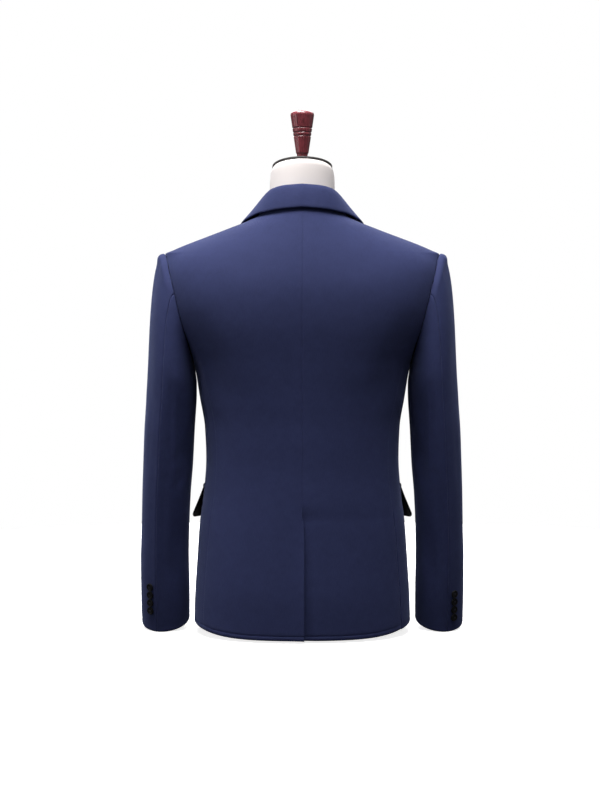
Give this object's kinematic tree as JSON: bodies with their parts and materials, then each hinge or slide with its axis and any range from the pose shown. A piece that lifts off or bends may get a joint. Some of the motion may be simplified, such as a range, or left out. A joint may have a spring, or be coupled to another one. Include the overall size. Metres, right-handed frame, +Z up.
{
  "type": "tuxedo jacket on a limbless dress form",
  "caption": "Men's single-breasted dinner jacket with notch lapels, flap pockets and a centre back vent, worn closed on a limbless table-top dress form with a turned finial.",
  "frame": {"origin": "middle of the dress form's flat foot, on the surface that it stands on", "axes": "+Z up along the form; the jacket faces -Y; the wearer's left is +X"},
  "size_m": [0.518, 0.25, 0.832],
  "materials": {
    "suiting": "navy worsted suiting, smooth and matt",
    "satin": "black satin facing",
    "button": "dark horn-look button",
    "jersey": "cream jersey stretched over the form",
    "band": "dark trimmed cap",
    "wood": "lacquered mahogany-red turned wood"
  },
  "bodies": {
    "root": {"back_left": "suiting", "side_left": "suiting", "front_left": "suiting", "lapel_left": "satin", "top_sleeve_left": "suiting", "under_sleeve_left": "suiting", "flap_left": "satin", "jet_left": "satin", "cuff_button_left_1": "button", "cuff_button_left_2": "button", "cuff_button_left_3": "button", "cuff_button_left_4": "button", "back_right": "suiting", "side_right": "suiting", "front_right": "suiting", "lapel_right": "satin", "top_sleeve_right": "suiting", "under_sleeve_right": "suiting", "flap_right": "satin", "jet_right": "satin", "cuff_button_right_1": "button", "cuff_button_right_2": "button", "cuff_button_right_3": "button", "cuff_button_right_4": "button", "collar_fall": "suiting", "collar_stand": "suiting", "front_button": "button", "form_body": "jersey", "neck_cap": "band", "finial": "wood"}
  },
  "joints": []
}
